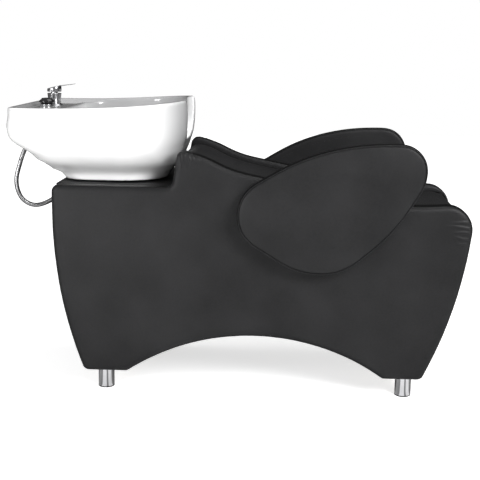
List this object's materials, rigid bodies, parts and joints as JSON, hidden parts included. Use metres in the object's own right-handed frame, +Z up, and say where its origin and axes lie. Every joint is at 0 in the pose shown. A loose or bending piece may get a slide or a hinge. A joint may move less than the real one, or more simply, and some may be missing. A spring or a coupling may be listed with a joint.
{
  "type": "hair washing bed",
  "caption": "Salon backwash bed: a padded black body with arm pads on short chrome feet, and a tilting white ceramic basin with mixer and pull-out hand spray.",
  "frame": {"origin": "on the floor, below the centre of the box around the whole bed, measured without its hoses", "axes": "+X from the basin to the seat front, +Y to the side of the mixer, +Z up"},
  "size_m": [1.4216, 0.637, 0.936],
  "materials": {
    "leather": "near-black leatherette, satin",
    "board": "plain plywood",
    "ceramic": "white glazed ceramic, opaque",
    "chrome": "polished",
    "black_plastic": "matte",
    "gloss_black": "gloss",
    "rubber": "matte",
    "zinc": "zinc plated",
    "bracket_paint": "black powder coat",
    "brass": "plain",
    "steel_hose": "interlocked metal hose",
    "braid": "stainless braid",
    "grey_plastic": "matte"
  },
  "bodies": {
    "frame": {"arm_board_left": "leather", "arm_board_right": "leather", "arm_bolts": "zinc", "arm_pad_left": "leather", "arm_pad_right": "leather", "arm_spacers": "grey_plastic", "back_board": "board", "board_screws": "zinc", "bracket_screws": "zinc", "center_cushion": "leather", "drain_hose": "grey_plastic", "front_apron": "leather", "front_board": "board", "front_bottom_board": "board", "front_rail": "board", "front_seat_board": "board", "head_board": "board", "hinge_pins": "zinc", "hinge_washers": "zinc", "hose_coupling": "brass", "hose_grommet": "rubber", "leg_front_left": "chrome", "leg_front_right": "chrome", "leg_glides": "rubber", "leg_rear_left": "chrome", "leg_rear_right": "chrome", "leg_screws": "zinc", "lower_bracket": "bracket_paint", "mixer_outlet_tail": "braid", "rear_bottom_board": "board", "rear_cover": "leather", "rest_buffers": "rubber", "seat_board": "board", "shelf_board": "board", "shelf_pad": "leather", "side_board_left": "board", "side_board_right": "board", "side_panel_left": "leather", "side_panel_right": "leather", "spray_hose_loop": "steel_hose", "supply_hose_cold": "braid", "supply_hose_hot": "braid", "supply_unions": "brass"},
    "basin": {"basin": "ceramic", "waste_fitting": "chrome", "waste_nut": "black_plastic", "upper_bracket": "bracket_paint", "bracket_bolts": "zinc", "mixer_body": "chrome", "mixer_nut": "brass", "spray_collar": "chrome", "collar_nut": "brass", "spray_hose_riser": "steel_hose"},
    "mixer_cartridge": {"mixer_cartridge": "black_plastic"},
    "mixer_handle": {"mixer_handle": "chrome", "handle_pin": "zinc"},
    "spray": {"spray_head": "chrome", "spray_face": "gloss_black", "hose_nut": "chrome"},
    "strainer": {"strainer": "chrome"}
  },
  "joints": [
    {"name": "basin_tilt", "type": "hinge", "parent": "frame", "child": "basin", "pos_m": [-0.5315, 0, 0.66], "axis": [0, -1, 0], "range_deg": [0, 8], "deforming": ["spray_hose_loop", "supply_hose_cold", "supply_hose_hot", "mixer_outlet_tail", "drain_hose"]},
    {"name": "mixer_turn", "type": "hinge", "parent": "basin", "child": "mixer_cartridge", "pos_m": [-0.6235, 0.052, 0.9], "axis": [0, 0, 1], "range_deg": [-45, 45]},
    {"name": "lever_lift", "type": "hinge", "parent": "mixer_cartridge", "child": "mixer_handle", "pos_m": [-0.6295, 0.052, 0.9115], "axis": [0, -1, 0], "range_deg": [0, 15]},
    {"name": "spray_slide", "type": "slide", "parent": "basin", "child": "spray", "axis": [0, 0, 1], "range_m": [0, 0.12], "deforming": ["spray_hose_riser"]},
    {"name": "strainer_lift", "type": "slide", "parent": "basin", "child": "strainer", "axis": [0, 0, 1], "range_m": [0, 0.03]}
  ]
}
